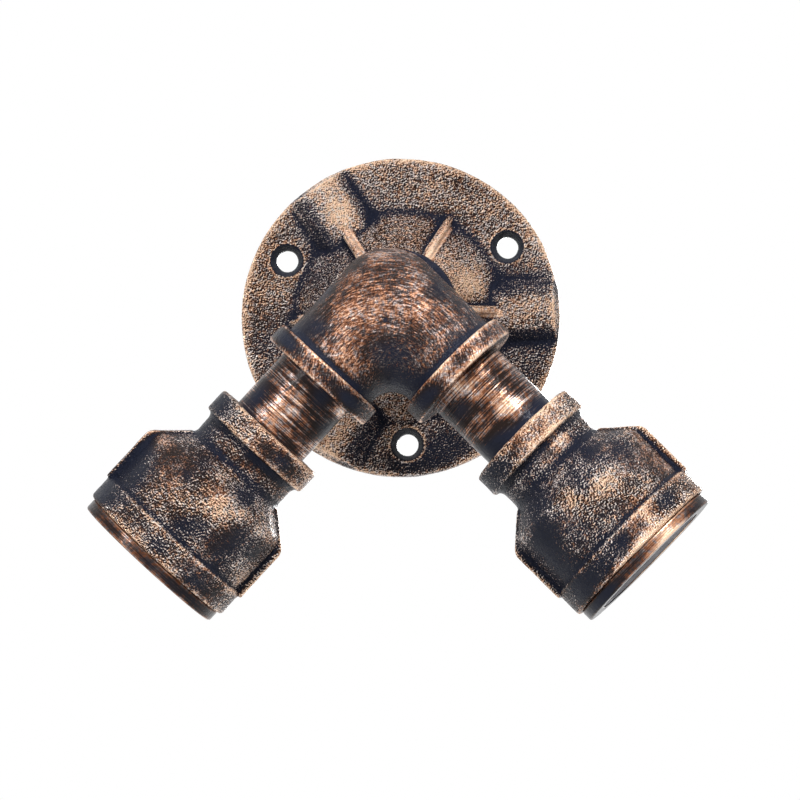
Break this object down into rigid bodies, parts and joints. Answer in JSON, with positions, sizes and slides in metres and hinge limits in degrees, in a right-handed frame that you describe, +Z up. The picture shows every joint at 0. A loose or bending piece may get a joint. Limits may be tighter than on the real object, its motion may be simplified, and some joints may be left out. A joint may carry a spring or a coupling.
{
  "type": "industrial pipe wall light",
  "caption": "Wall light of cast pipe fittings: a ribbed round flange carries a side outlet elbow with two short arms, each ending in a downward lampholder.",
  "frame": {"origin": "centre of the wall flange's back face, on the wall", "axes": "+Z up, +Y into the wall along the flange's axis, -Y towards the room, +X to the viewer's right"},
  "size_m": [0.1919, 0.0824, 0.1504],
  "materials": {
    "cast_bronze": "cast iron, coarse sand grain, antique bronze finish brushed back on the high places",
    "elbow_bronze": "cast iron, smoother skin, antique bronze finish with brush strokes",
    "pipe_bronze": "steel pipe, antique bronze finish brushed round the pipe",
    "ring_bronze": "turned steel, dark antique bronze",
    "porcelain": "glazed white porcelain",
    "brass": "pressed brass sheet",
    "spring_steel": "oiled spring steel",
    "screw_steel": "zinc plated",
    "black_sleeve": "heat resistant silicone sleeve, satin",
    "white_sleeve": "heat resistant silicone sleeve, satin",
    "earth_green": "green dyed zinc"
  },
  "bodies": {
    "frame": {"wall_flange": "cast_bronze", "rear_nipple": "pipe_bronze", "side_outlet_elbow": "elbow_bronze", "left_arm_nipple": "pipe_bronze", "right_arm_nipple": "pipe_bronze", "left_reducer": "cast_bronze", "right_reducer": "cast_bronze", "left_lamp_ring": "ring_bronze", "right_lamp_ring": "ring_bronze", "left_snap_ring": "spring_steel", "right_snap_ring": "spring_steel", "left_holder_body": "porcelain", "right_holder_body": "porcelain", "left_screw_shell": "brass", "right_screw_shell": "brass", "left_contact_strap": "brass", "right_contact_strap": "brass", "left_shell_terminal": "brass", "right_shell_terminal": "brass", "left_live_terminal": "brass", "right_live_terminal": "brass", "left_shell_rivets": "brass", "right_shell_rivets": "brass", "left_terminal_screws": "screw_steel", "right_terminal_screws": "screw_steel", "left_live_lead": "black_sleeve", "right_live_lead": "black_sleeve", "left_neutral_lead": "white_sleeve", "right_neutral_lead": "white_sleeve", "live_splice": "black_sleeve", "neutral_splice": "white_sleeve", "earth_screw": "earth_green", "earth_washer": "brass"},
    "left_contact": {"left_contact_leaf": "brass"},
    "right_contact": {"right_contact_leaf": "brass"}
  },
  "joints": [
    {"name": "left_contact_press", "type": "hinge", "parent": "frame", "child": "left_contact", "pos_m": [-0.05496, -0.0552, -0.06641], "axis": [0, 1, 0], "range_deg": [0, 10], "stiffness_Nm_per_rad": 0.14},
    {"name": "right_contact_press", "type": "hinge", "parent": "frame", "child": "right_contact", "pos_m": [0.06695, -0.0552, -0.05983], "axis": [0, 1, 0], "range_deg": [0, 10], "stiffness_Nm_per_rad": 0.14}
  ]
}
